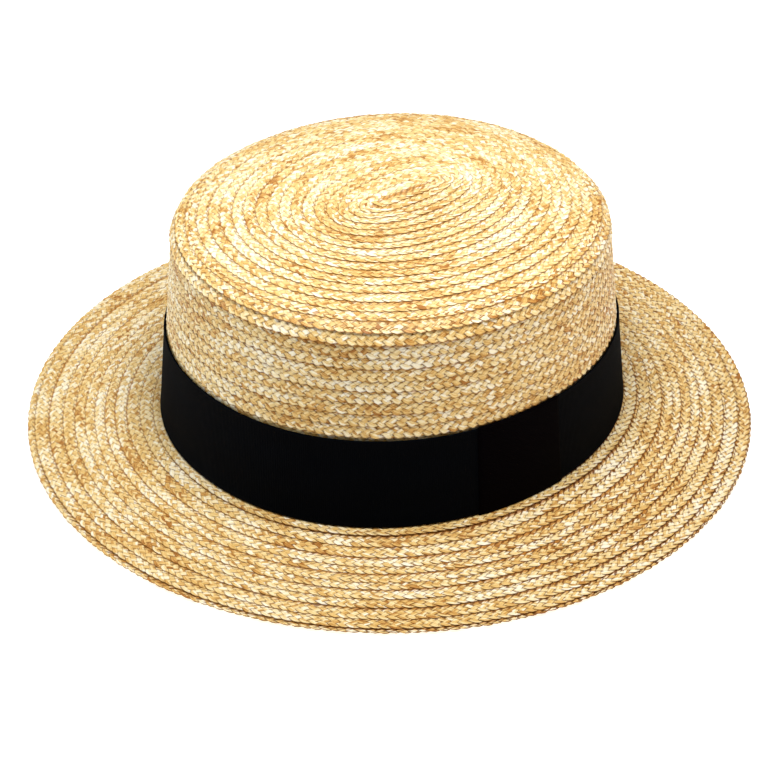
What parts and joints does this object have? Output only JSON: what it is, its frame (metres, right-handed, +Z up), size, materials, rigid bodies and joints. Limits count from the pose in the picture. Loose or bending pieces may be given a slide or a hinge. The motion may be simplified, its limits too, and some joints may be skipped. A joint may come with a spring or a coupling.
{
  "type": "straw boater hat",
  "caption": "Stiff straw boater hat with a flat oval crown, a flat round brim, a plain black ribbon and a short ribbon loop over its joint.",
  "frame": {"origin": "on the surface that the hat stands on, under the middle of the brim", "axes": "+Z up, -Y towards the front of the hat, +X towards the wearer's left, where the ribbon loop is"},
  "size_m": [0.302, 0.2994, 0.0986],
  "materials": {
    "straw": "natural wheat straw, plaited into braid and sewn in overlapping rows, with a light gloss",
    "ribbon": "matt black grosgrain ribbon with fine upright ribs"
  },
  "bodies": {
    "root": {"crown": "straw", "brim": "straw", "hat_band": "ribbon", "band_keeper": "ribbon"}
  },
  "joints": []
}
